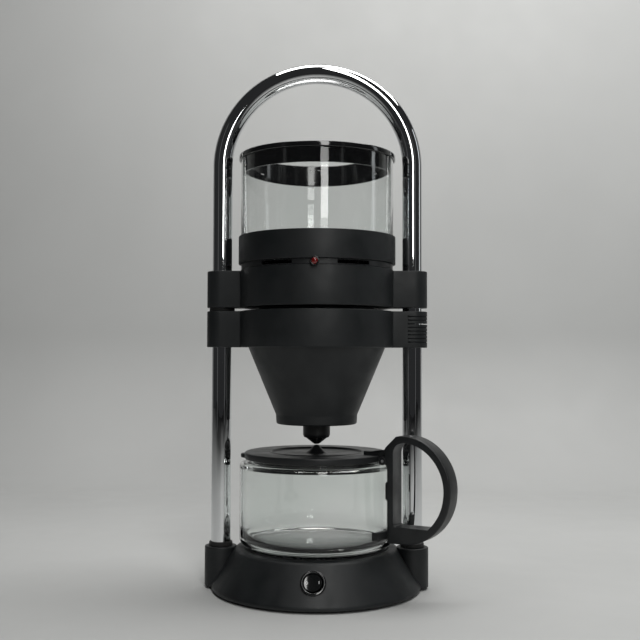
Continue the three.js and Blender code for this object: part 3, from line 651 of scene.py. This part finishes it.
def vent_band():
    bottom, top = low("vent_band").z, high("vent_band").z
    middle = (bottom + top) / 2
    outer = high("vent_band").y
    inner = outer - 2 * MM
    ring = turned_mesh([(outer - SKIN, bottom), (outer - SKIN, top), (inner, top), (inner, bottom)])
    tools = []
    for degrees in VENT_SLOT_DEG:
        slot = box_mesh(50 * MM, 80 * MM, -VENT_SLOT_HALF, VENT_SLOT_HALF,
                        bottom + 0.7 * MM, top - 0.7 * MM)
        slot.transform(Matrix.Rotation(math.radians(degrees), 4, "Z"))
        tools.append(slot)
    stem_hole = cylinder(1.9 * MM, -6 * MM, 6 * MM, 32)
    stem_hole.transform(Matrix.Translation((0, -outer, middle)) @ TO_FRONT)
    tools.append(stem_hole)
    finish_piece("vent_ring", difference(ring, *tools), SATIN, "machine", "satin_black", ["vent_band"])
    onto_front = Matrix.Translation((0, high("lamp_bezel").y, middle)) @ TO_FRONT
    cup = turned([(3.88, 0), (3.88, 1.55), (3.0, 1.55), (3.0, 0.6), (1.9, 0.6), (1.9, 0)],
                 [0.1, 0.6, 0.25, 0.1, 0, 0], 96)
    cup.transform(onto_front)
    finish_piece("lamp_cup", cup, GLOSS, "machine", "gloss_black", ["lamp_bezel"])
    lens_r, dome_z, dome_height = 2.75, 1.35, 1.4
    dome = [(lens_r * math.cos(t), dome_z + dome_height * math.sin(t))
            for t in [math.pi / 2 * k / 12 for k in range(1, 12)]]
    stem = [(0, -5.5), (1.6, -5.5), (1.6, 0.9), (lens_r, 0.9), (lens_r, dome_z)]
    lens = turned_mesh(mm(stem + dome + [(0, dome_z + dome_height)]), 64)
    lens.transform(onto_front)
    finish_piece("lamp_lens", lens, LAMP, "machine", "lamp_red", ["indicator_lens"])


def collar():
    inner = TANK_R + 0.3 * MM
    shelf = TANK_LOW - 2.8 * MM
    mesh = turned_mesh(rounded(
        [(67.55 * MM, COLLAR_LOW), (COLLAR_R - SKIN, COLLAR_LOW), (COLLAR_R - SKIN, COLLAR_TOP),
         (inner, COLLAR_TOP), (inner, shelf), (66 * MM, shelf), (66 * MM, shelf - 3 * MM),
         (67.55 * MM, shelf - 3 * MM)],
        mm_list([0.2, 0.5, 1.7, 0.4, 0, 0.2, 0.2, 0])))
    finish_piece("tank_collar", mesh, BLACK, "machine", "matte_black", ["boiler_collar"])


SKIRT_R = 64.6 * MM          # inner radius of the ring's skirt at its lower edge
SKIRT_TAPER = 0.6 / 16.6     # how much that radius grows for each unit upwards


def tank():
    inner, outer = TANK_R - 2.5 * MM, TANK_R - SKIN
    glass = turned_mesh(rounded(
        [(inner, TANK_LOW), (outer, TANK_LOW), (outer, TANK_TOP), (inner, TANK_TOP)],
        mm_list([0.7, 0.7, 1.0, 1.0])), GLASS_FACETS)
    finish_piece("tank_cylinder", glass, TANK_GLASS, "machine", "glass", ["tank_glass"])
    skirt_top = RIM_TOP - 2.8 * MM
    lip_low = RIM_TOP - 4.8 * MM
    lip_inner, lip_outer = TANK_R + 0.3 * MM, RIM_R - SKIN
    rim = turned_mesh(rounded(
        [(lip_inner, lip_low), (lip_outer, lip_low), (lip_outer, RIM_TOP), (66.0 * MM, RIM_TOP),
         (65.2 * MM, RIM_TOP - 1 * MM), (SKIRT_R, RIM_LOW), (66.4 * MM, RIM_LOW), (67.15 * MM, skirt_top),
         (lip_inner, skirt_top)],
        mm_list([0.3, 0.7, 1.6, 0.8, 0.6, 0.5, 0.5, 0.2, 0.2])), GLASS_FACETS)
    finish_piece("tank_top_ring", rim, GLOSS, "machine", "gloss_black", ["tank_rim"])


# ---- level scale: name, width, height, sideways place and height above the skirt's edge, in mm ----
LEVEL_MARKS = [
    ("dash_5", 1.5, 0.45, -4.6, 13.4),
    ("dash_4", 1.5, 0.45, -4.6, 3.2),
    ("dash_mid", 1.5, 0.45, 4.2, 6.0),
    ("dash_top", 4.2, 0.45, 0.5, 13.6),
    ("tick_left_high", 3.6, 0.7, -56, 12.4),
    ("tick_left_low", 4.6, 0.7, -54, 5.2),
    ("tick_right_high", 3.6, 0.6, 56, 12.4),
    ("tick_right_low", 4.0, 0.7, 55, 5.0),
]
LEVEL_FIGURES = [("5", 12.2), ("4", 2.0)]
FIGURE_X = -8.4 * MM
INK = 0.05 * MM


def skirt_radius(z):
    return SKIRT_R + (z - RIM_LOW) * SKIRT_TAPER


def curved_dash(width, height, x, z):
    """A thin printed dash that follows the inside of the skirt."""
    steps = 6
    r = skirt_radius(z) - 0.15 * MM
    centre = math.pi / 2 - math.asin(x / r)
    span = width / r
    bottom, top = z - height / 2, z + height / 2
    section = ((r, bottom), (r, top), (r - INK, top), (r - INK, bottom))
    bm = bmesh.new()
    rows = []
    for k in range(steps + 1):
        a = centre - span / 2 + span * k / steps
        rows.append([bm.verts.new((rr * math.cos(a), rr * math.sin(a), zz)) for rr, zz in section])
    for a, b in zip(rows, rows[1:]):
        for j in range(4):
            bm.faces.new([a[j], a[(j + 1) % 4], b[(j + 1) % 4], b[j]])
    bm.faces.new(list(reversed(rows[0])))
    bm.faces.new(rows[-1])
    return closed_mesh(bm)


def level_marks():
    """Generic level figures and ticks, printed on the inner skirt of the tank ring at the back."""
    for name, width, height, x, rise in LEVEL_MARKS:
        mesh = curved_dash(width * MM, height * MM, x * MM, RIM_LOW + rise * MM)
        finish_piece(f"level_{name}", mesh, WHITE, "machine", "silicone", smooth_deg=0)
    for digit, rise in LEVEL_FIGURES:
        z = RIM_LOW + rise * MM
        curve = bpy.data.curves.new(f"digit_{digit}", "FONT")
        curve.body = digit
        curve.size = 3.0 * MM
        curve.extrude = 0.03 * MM
        curve.align_x = "CENTER"
        letter = bpy.data.objects.new("letter", curve)
        mesh = bpy.data.meshes.new_from_object(letter)
        bpy.data.objects.remove(letter)
        r = skirt_radius(z) - 0.3 * MM
        angle = math.asin(FIGURE_X / r)
        mesh.transform(Matrix.Rotation(-angle, 4, "Z") @ Matrix.Translation((0, r, z)) @ TO_FRONT)
        finish_piece(f"level_figure_{digit}", mesh, WHITE, "machine", "silicone", smooth_deg=0)


# ---- filter holder ----
GRIP_PITCH = 3.3 * MM
GRIP_FIRST = 222.4 * MM
GRIP_GROOVES = 8
GRIP_SLIT = 5                # counted from 0, the groove that the slit through the ear lies in


def filter_holder():
    body = prism_mesh(eared_outline(HOLDER_R, EAR_R - SKIN), HOLDER_LOW, HOLDER_TOP, 0.7 * MM)
    clear = 1 * MM
    tools = [
        cylinder(HOLDER_R - 3 * MM, HOLDER_LOW + 4 * MM, HOLDER_TOP + clear, RIM_FACETS),
        cylinder(63.3 * MM, HOLDER_LOW - clear, HOLDER_LOW + 5 * MM, RIM_FACETS),
        moved(cylinder(TUBE_R + 2.5 * MM, HOLDER_LOW - clear, HOLDER_TOP + clear), -TUBE_X),
        moved(cylinder(TUBE_R + 1.3 * MM, HOLDER_LOW - clear, HOLDER_TOP + clear), TUBE_X),
        box_mesh(TUBE_X - TUBE_R - 1.3 * MM, TUBE_X + TUBE_R + 1.3 * MM, 0, 20 * MM,
                 HOLDER_LOW - clear, HOLDER_TOP + clear),
    ]
    for i in range(GRIP_GROOVES):
        z = GRIP_FIRST + i * GRIP_PITCH
        outside = EAR_R + 1 * MM
        groove = turned_mesh(rounded(
            [(EAR_R - 0.9 * MM, z + 0.6 * MM), (outside, z - 0.35 * MM), (outside, z + 1.55 * MM)],
            mm_list([0.25, 0, 0])), SMALL_FACETS)
        keep = box_mesh(-4.5 * MM, 20 * MM, -20 * MM, 20 * MM, z - 3 * MM, z + 5 * MM)
        tools.append(moved(intersection(groove, keep), TUBE_X))
    slit_z = GRIP_FIRST + GRIP_SLIT * GRIP_PITCH
    tools.append(box_mesh(TUBE_X + 2 * MM, TUBE_X + 20 * MM, -20 * MM, 20 * MM, slit_z, slit_z + 1.2 * MM))
    finish_piece("filter_ring", difference(body, *tools), BLACK, "filter", "matte_black", ["filter_holder"])


CONE_FOOT_Z = 157 * MM       # where the funnel's slope starts
CONE_FLOOR_Z = 151 * MM
OUTLET_R = 4.2 * MM


def filter_cone():
    ring_low = HOLDER_LOW + 4.3 * MM
    ring_top = ring_low + 2.4 * MM
    profile = rounded(
        [(OUTLET_R, CONE_LOW), (36.7 * MM, CONE_LOW), (37.2 * MM, CONE_FOOT_Z), (62.6 * MM, HOLDER_LOW),
         (62.8 * MM, ring_low), (66.4 * MM, ring_low), (66.4 * MM, ring_top), (60.6 * MM, ring_top),
         (60.2 * MM, HOLDER_LOW), (34.9 * MM, CONE_FOOT_Z), (34.1 * MM, CONE_FLOOR_Z),
         (OUTLET_R, CONE_FLOOR_Z)],
        mm_list([0, 1.9, 0.8, 0.4, 0.3, 0.3, 0.5, 0.8, 1, 2, 3, 0.3]))
    finish_piece("filter_funnel", turned_mesh(profile), BLACK, "filter", "matte_black", ["filter_cone"])
    nozzle = turned(
        [(4.2, 145.2), (4.2, 148.2), (12.35, 148.2), (12.35, 138.6), (11.3, 136.2), (10.5, 136.2),
         (10.5, 145.2)],
        [0, 0, 0.2, 0.8, 0.4, 0.2, 0], 96)
    finish_piece("drip_nozzle", nozzle, SATIN, "filter", "satin_black", ["nozzle_sleeve"])
    plunger = turned(
        [(0, 130), (1.85, 130), (3.3, 130.8), (10.15, 136.2), (10.15, 138.2), (3, 138.2), (3, 151.2),
         (0, 151.2)],
        [0, 0.4, 1, 0.5, 0.3, 0.2, 0.3, 0], 96)
    finish_piece("drip_plunger", plunger, GLOSS, "drip_stop", "gloss_black", ["drip_stop_plunger"])


def drip_spring():
    """Coil between the plunger's flange and the nozzle."""
    turns, steps, sides = 3, 48, 12
    coil_r, wire_r = 6.4 * MM, 0.45 * MM
    start, end, seat = 138.95 * MM, 144.45 * MM, 144.9 * MM
    bm = bmesh.new()
    rings = []
    for k in range(turns * steps + 1):
        turn = 2 * math.pi * k / steps
        out = Vector((math.cos(turn), math.sin(turn), 0))
        middle = out * coil_r + Vector((0, 0, start + (end - start) * k / (turns * steps)))
        angles = [2 * math.pi * j / sides for j in range(sides)]
        rings.append([bm.verts.new(middle + (out * math.cos(a) + Vector((0, 0, math.sin(a)))) * wire_r)
                      for a in angles])
    for a, b in zip(rings, rings[1:]):
        for j in range(sides):
            bm.faces.new([a[j], a[(j + 1) % sides], b[(j + 1) % sides], b[j]])
    bm.faces.new(rings[0])
    bm.faces.new(rings[-1])
    spring = finish_piece("drip_coil", closed_mesh(bm), STEEL, "filter", "steel", ["drip_stop_spring"], 60)
    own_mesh(spring)


def hinge_pieces():
    for node, material, slot, body, thickness in (
            ("hinge_bush", SATIN, "satin_black", "filter", 2.25 * MM),
            ("hinge_spacer", RUBBER, "rubber", "machine", 2.55 * MM)):
        bottom, top = low(node).z, high(node).z
        inner, outer = TUBE_R + 0.25 * MM, TUBE_R + thickness
        mesh = turned_mesh(rounded(
            [(inner, bottom), (outer, bottom), (outer, top), (inner, top)], 0.3 * MM), SMALL_FACETS)
        finish_piece(f"{node}_ring", moved(mesh, -TUBE_X), material, body, slot, [node])


# ---- jug ----
TO_JUG = Matrix.Rotation(JUG_TURN, 4, "Z")
PIN_R = 70.6 * MM
PIN_Z = 119 * MM
PIN_BORE_R = 1.6 * MM


def jug_glass():
    wall = 2.4 * MM
    neck = 62 * MM
    outer = [(0, JUG_LOW), (JUG_R - SKIN, JUG_LOW), (JUG_R - SKIN, JUG_TOP - 3.4 * MM),
             (neck, JUG_TOP - 3.0 * MM), (neck + 0.55 * MM, JUG_TOP)]
    inner = [(neck - wall + 0.6 * MM, JUG_TOP), (neck - wall, JUG_TOP - 4.6 * MM),
             (JUG_R - wall, JUG_TOP - 5.2 * MM), (JUG_R - wall, JUG_LOW + wall), (0, JUG_LOW + wall)]
    radii = mm_list([0, 7.5, 7.6, 1.6, 0.8, 0.8, 1.6, 6.0, 16, 0])
    mesh = turned_mesh(rounded(outer + inner, radii, 12), GLASS_FACETS)
    finish_piece("jug_bowl", mesh, JUG_GLASS, "jug", "glass", ["jug_glass"])


def bezier(points, steps):
    a, b, c, d = (Vector(p) for p in points)
    result = []
    for k in range(1, steps + 1):
        t = k / steps
        u = 1 - t
        result.append(tuple(a * u ** 3 + b * 3 * t * u ** 2 + c * 3 * t * t * u + d * t ** 3))
    return result


def slab_mesh(outline, width, edge=0.0):
    """An [r, z] outline in the XZ plane, thickened to width about y = 0."""
    mesh = prism_mesh(outline, -width / 2, width / 2, edge)
    mesh.transform(TO_FRONT)
    return mesh


def across(mesh, y=0.0):
    """Turns a piece built round Z into the line of the lid's hinge pin."""
    mesh.transform(Matrix.Translation((PIN_R, y, PIN_Z)) @ TO_FRONT)
    return mesh


def pin_bore():
    return across(cylinder(PIN_BORE_R, -20 * MM, 20 * MM, 32))


def handle():
    width = 18
    outline = [(75.2, 112), (75.2, 48.4), (93, 48.4)]
    outline += bezier([(93, 48.4), (113, 49.4), (134.18, 67), (134.18, 96)], 40)
    outline += bezier([(134.18, 96), (134.18, 120), (115, 140.6), (93, 141.38)], 40)
    outline += bezier([(93, 141.38), (88, 141.38), (86, 141.4), (83.4, 140.6)], 6)
    outline += bezier([(74.6, 132.1), (73.2, 130.6), (72.6, 129.6), (72.6, 127)], 6)
    outline += bezier([(72.6, 118.5), (72.7, 116), (75.2, 114.5), (75.2, 112)], 6)[:-1]
    opening = [(82.4, 63), (81.2, 64.2), (81.2, 126)]
    opening += bezier([(81.2, 126), (81.7, 132), (85, 135.2), (91, 135.6)], 14)
    opening += bezier([(91, 135.6), (111, 135.4), (128, 117), (128, 96)], 40)
    opening += bezier([(128, 96), (128, 82), (122.5, 71.5), (113.5, 63)], 24)
    body = difference(
        slab_mesh(mm(outline), (width - 0.04) * MM, 1.3 * MM),
        slab_mesh(mm(opening), (width + 2) * MM),
        slab_mesh(mm([(60, 107), (79.2, 107), (79.2, 131.8), (60, 131.8)]), 9.2 * MM))
    foot = intersection(
        turned([(70.9, 52), (75.8, 52), (75.8, 58.8), (70.9, 58.8)], [0.3, 1.2, 1.2, 0.3]),
        slab_mesh(mm([(60, 51), (90, 51), (90, 60), (60, 60)]), 43.85 * MM))
    boss = box_mesh(71.2 * MM, 76 * MM, -1.5 * MM, 1.5 * MM, 84 * MM, 100 * MM)
    lobes = []
    for side in (-1, 1):
        lobe = turned([(0, -2.2), (3.58, -2.2), (3.58, 2.2), (0, 2.2)], [0, 0.6, 0.6, 0], 64)
        lobes.append(across(lobe, side * 6.8 * MM))
    glass_space = cylinder(70.85 * MM, 40 * MM, 112 * MM, RIM_FACETS)
    mesh = difference(union(body, foot, boss, *lobes), pin_bore(), glass_space)
    soften(mesh, 0.7 * MM)
    mesh.transform(TO_JUG)
    finish_piece("jug_grip", mesh, SATIN, "jug", "satin_black", ["jug_handle"])


def soften(mesh, width, angle=50):
    """Rounds the sharp edges that booleans leave."""
    work = bpy.data.objects.new("work", mesh)
    bpy.context.scene.collection.objects.link(work)
    bevel = work.modifiers.new("bevel", "BEVEL")
    bevel.width = width
    bevel.segments = 2
    bevel.limit_method = "ANGLE"
    bevel.angle_limit = math.radians(angle)
    bevel.use_clamp_overlap = True
    depsgraph = bpy.context.evaluated_depsgraph_get()
    result = bpy.data.meshes.new_from_object(work.evaluated_get(depsgraph))
    bm = bmesh.new()
    bm.from_mesh(result)
    bm.to_mesh(mesh)
    bm.free()
    bpy.data.objects.remove(work)
    bpy.data.meshes.remove(result)


def lid():
    z, top = 118, 123.08
    disc = turned(
        [(0, z + 1.4), (55.5, z + 1.4), (55.5, 110), (57.5, 110), (57.5, z), (63.6, z), (63.6, z - 0.58),
         (65.45, z - 0.58), (65.45, top), (43.4, top), (42.5, top + 0.6), (41.2, top + 0.6),
         (40.3, top - 1.2), (10.6, top - 1.4), (9.3, top - 0.9), (6.2, 124.6), (1.85, 129.2), (0, 129.2)],
        [0, 1, 0.3, 0.3, 0.6, 0.3, 0.1, 0.5, 1.5, 0.4, 0.5, 0.5, 0.6, 0.5, 0.4, 2.0, 0.4, 0])
    tab_turn = math.radians(208)
    tab = difference(
        prism_mesh([(x + 60.3 * MM, y) for x, y in arc(0, 0, 8.95 * MM, 0, 2 * math.pi * 47 / 48, 47)],
                   (z - 0.55) * MM, 121.35 * MM, 1.2 * MM),
        cylinder(64.7 * MM, 100 * MM, 140 * MM, RIM_FACETS))
    tab.transform(Matrix.Rotation(tab_turn, 4, "Z"))
    lever = [(50, 122), (64, 118.2), (71, 117.0), (74.1, 120), (75.4, 129.2), (71.6, 129.6), (66.4, 126.2),
             (50, 126.4)]
    arm = slab_mesh(rounded(mm(lever), mm_list([1, 3, 1.5, 2, 1, 1, 3, 1])), 8 * MM, 0.8 * MM)
    barrel = across(cylinder(3.5 * MM, -4 * MM, 4 * MM, 64))
    relief = turned_mesh(mm([(58.2, 100), (71, 100), (71, z - 0.1), (58.2, z - 0.1)]))
    lever_part = difference(union(arm, barrel), relief)
    mesh = difference(union(disc, tab, lever_part), pin_bore())
    mesh.transform(TO_JUG)
    finish_piece("jug_cover", mesh, SATIN, "lid", "satin_black", ["jug_lid"])


# ---- CAD nodes that keep their shape and get a better material ----
KEPT = {
    BLACK: ["bottom_cover"],
    SATIN: ["outlet_valve", "shower_plate"],
    STEEL: ["cover_screw_1", "cover_screw_2", "cover_screw_3", "cover_screw_4", "frame_screw_left",
            "frame_screw_right", "tube_plug_left", "tube_plug_right", "hot_plate_heater", "base_thermostat",
            "lug_screw_left", "lug_screw_right", "boiler_heater", "boiler_thermostat",
            "lid_hinge_pin"],
    BRUSHED: ["boiler_plate"],
    BRASS: ["outlet_seat"],
    SILICONE: ["tank_gasket", "drip_stop_seal", "handle_pad_lower", "handle_pad_upper"],
}


def dress_kept_nodes():
    for material, names in KEPT.items():
        for name in names:
            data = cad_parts[name].data
            data.materials.clear()
            data.materials.append(material)


# ---- studio ----
SHADE_FAR_Y = -1.3           # the floor colour is painted in full shade beyond this
SHADE_NEAR_Y = -0.6          # and fully pale from here to the wall
ROOM_STRENGTH = 0.042


def paper(name, dark, light, shade):
    """Pale paper, with shade painted into its colour well in front of the machine."""
    m = Nodes(name)
    along = m.new("ShaderNodeSeparateXYZ")
    m.link(m.coordinates, along.inputs["Vector"])
    # painted shade: the floor colour mixes from the shade colour to the pale paper along Y
    mix = m.new("ShaderNodeMix")
    mix.data_type = "RGBA"
    mix.inputs["A"].default_value = (*shade, 1)
    m.link(m.ramp(along.outputs["Y"], 0, 1, SHADE_FAR_Y, SHADE_NEAR_Y), mix.inputs["Factor"])
    m.link(m.tint(m.noise(3, 3), dark, light), mix.inputs["B"])
    m.link(mix.outputs["Result"], m.shader.inputs["Base Color"])
    m.link(m.ramp(m.noise(20, 4), 0.6, 0.75), m.shader.inputs["Roughness"])
    return m.material


def backdrop():
    """Pale floor that sweeps up into a plain wall behind the machine."""
    depth, bend, width, height = 0.62, 0.25, 3.0, 2.2
    profile = [(-2.4, 0.0), (depth, 0.0)]
    profile += [(depth + bend * math.sin(t), bend * (1 - math.cos(t)))
                for t in [math.pi / 2 * k / 24 for k in range(1, 25)]]
    profile.append((depth + bend, height))
    bm = bmesh.new()
    rows = [[bm.verts.new((x, y, z)) for x in (-width, width)] for y, z in profile]
    for a, b in zip(rows, rows[1:]):
        bm.faces.new([a[0], a[1], b[1], b[0]])
    mesh = bpy.data.meshes.new("backdrop")
    bm.to_mesh(mesh)
    bm.free()
    mesh.shade_smooth()
    # the third colour is the painted shade on the floor in front of the machine
    mesh.materials.append(paper("pale_paper_painted_shade", (0.50, 0.505, 0.50), (0.53, 0.535, 0.53), (0.10, 0.10, 0.10)))
    sweep = bpy.data.objects.new("backdrop", mesh)
    bpy.context.scene.collection.objects.link(sweep)


def area_light(name, location, target, size, power, color=(1, 1, 1)):
    data = bpy.data.lights.new(name, "AREA")
    data.shape = "RECTANGLE"
    data.size, data.size_y = size
    data.energy = power
    data.color = color
    lamp = bpy.data.objects.new(name, data)
    bpy.context.scene.collection.objects.link(lamp)
    lamp.location = location
    direction = Vector(target) - Vector(location)
    lamp.rotation_euler = direction.to_track_quat("-Z", "Y").to_euler()


def lights():
    """A tall window behind the camera, a soft ceiling light, and faint strips that streak the chrome."""
    area_light("window", (0.28, -1.29, 1.20), (0, 0, 0.2), (0.32, 1.8), 11.5, (1.0, 1.0, 0.98))
    area_light("window_right", (1.7, 0.1, 0.8), (0, 0, 0.25), (0.2, 1.1), 1.0, (0.94, 0.98, 1.0))
    area_light("far_left", (-1.3, -1.2, 0.5), (0, 0, 0.25), (0.16, 1.6), 0.08)
    area_light("far_right", (1.2, -1.5, 0.5), (0, 0, 0.25), (0.12, 1.6), 0.08)
    area_light("ceiling", (0.25, 0.14, 1.4), (0.22, 0.45, 0.1), (1.3, 0.6), 15.5, (1.0, 0.995, 0.98))
    world = bpy.data.worlds.new("room")
    world.use_nodes = True
    background = world.node_tree.nodes["Background"]
    background.inputs["Color"].default_value = (0.55, 0.56, 0.58, 1)
    background.inputs["Strength"].default_value = ROOM_STRENGTH
    bpy.context.scene.world = world
    bpy.context.scene.view_settings.view_transform = "Standard"


frame_tube()
base()
hot_plate()
grommets()
switch()
underside()
boiler_housing()
vent_band()
collar()
tank()
level_marks()
filter_holder()
filter_cone()
drip_spring()
hinge_pieces()
jug_glass()
handle()
lid()
dress_kept_nodes()
backdrop()
lights()
